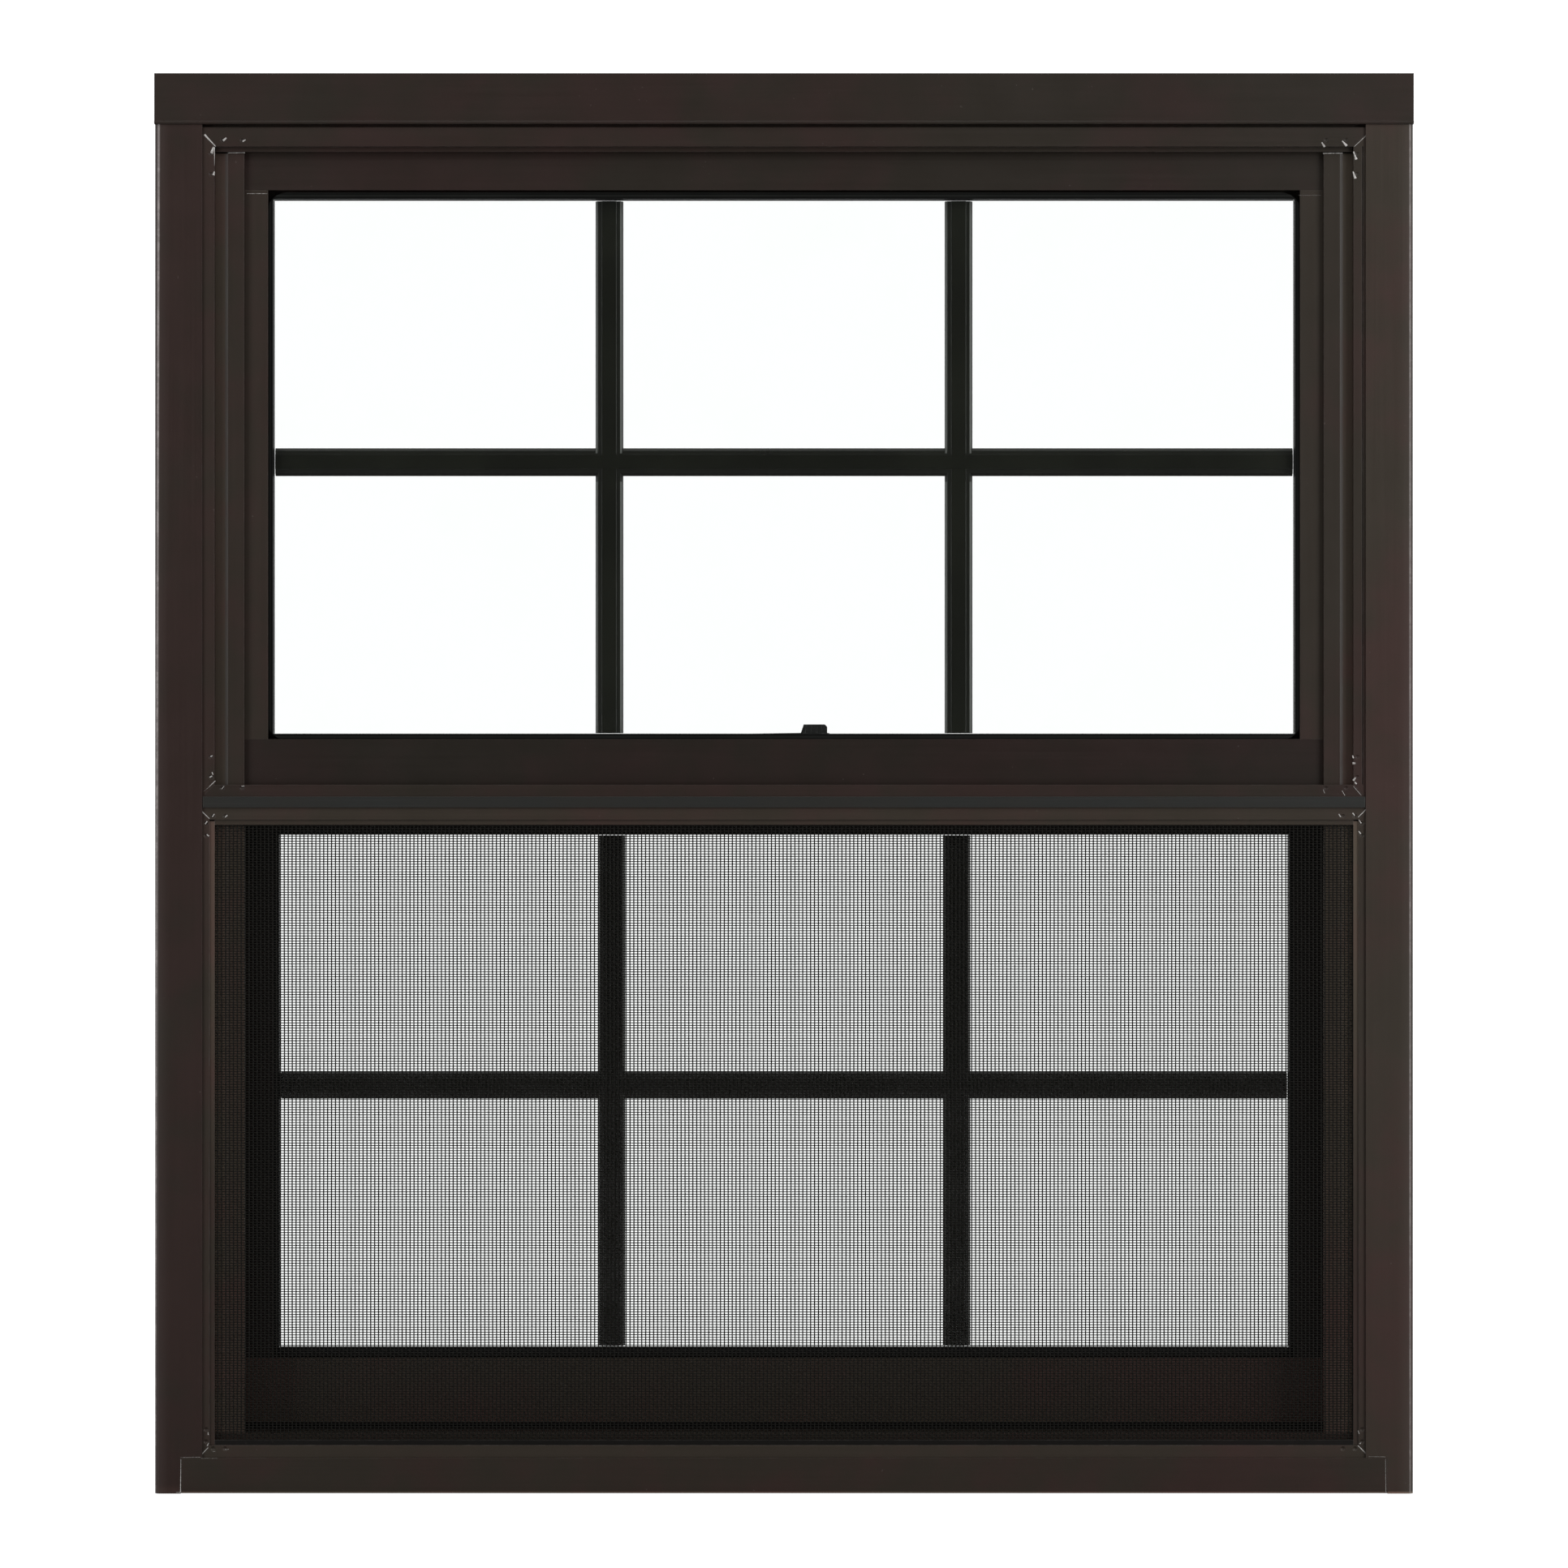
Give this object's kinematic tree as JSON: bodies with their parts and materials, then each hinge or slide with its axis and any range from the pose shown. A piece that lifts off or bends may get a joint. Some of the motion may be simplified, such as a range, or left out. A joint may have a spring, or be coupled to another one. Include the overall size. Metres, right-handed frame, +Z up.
{
  "type": "double hung window",
  "caption": "Dark bronze aluminium double hung window with a face flange, a fixed upper light, a lower sash behind a half insect screen, and snap-in grids.",
  "frame": {"origin": "middle of the sill flange's back face, on the wall's outer face", "axes": "+X to the right seen from outside, +Y from outside into the wall, +Z up"},
  "size_m": [0.6096, 0.0665, 0.6877],
  "materials": {
    "bronze_frame": "dark bronze satin paint",
    "bronze_stop": "dark bronze satin paint",
    "bronze_ring": "dark bronze satin paint",
    "bronze_screen": "dark bronze satin paint",
    "bronze_sash": "dark bronze satin paint",
    "graphite_bar": "dark graphite paint",
    "gasket": "black vinyl",
    "glass": "clear float glass",
    "grid": "greenish black moulded plastic",
    "mesh": "charcoal coated glass fibre mesh",
    "spline": "black vinyl cord",
    "weatherstrip": "black vinyl bulb",
    "latch": "black moulded nylon"
  },
  "bodies": {
    "root": {"frame_head": "bronze_frame", "frame_left_jamb": "bronze_frame", "frame_right_jamb": "bronze_frame", "frame_sill": "bronze_frame", "left_sash_stop": "bronze_stop", "right_sash_stop": "bronze_stop", "upper_ring_top": "bronze_ring", "upper_ring_bottom": "bronze_ring", "upper_ring_left": "bronze_ring", "upper_ring_right": "bronze_ring", "screen_top_bar": "bronze_screen", "screen_bottom_bar": "bronze_screen", "screen_left_bar": "bronze_screen", "screen_right_bar": "bronze_screen", "upper_sash_top_rail": "bronze_sash", "upper_sash_bottom_rail": "bronze_sash", "upper_sash_left_stile": "bronze_sash", "upper_sash_right_stile": "bronze_sash", "lower_sash_top_rail": "bronze_sash", "lower_sash_bottom_rail": "bronze_sash", "lower_sash_left_stile": "bronze_sash", "lower_sash_right_stile": "bronze_sash", "meeting_bar": "graphite_bar", "upper_gasket": "gasket", "lower_gasket": "gasket", "upper_glass": "glass", "lower_glass": "glass", "upper_grid": "grid", "lower_grid": "grid", "screen_mesh": "mesh", "screen_spline": "spline", "lower_weatherstrip": "weatherstrip", "latch_base": "latch", "latch_knob": "latch"}
  },
  "joints": []
}
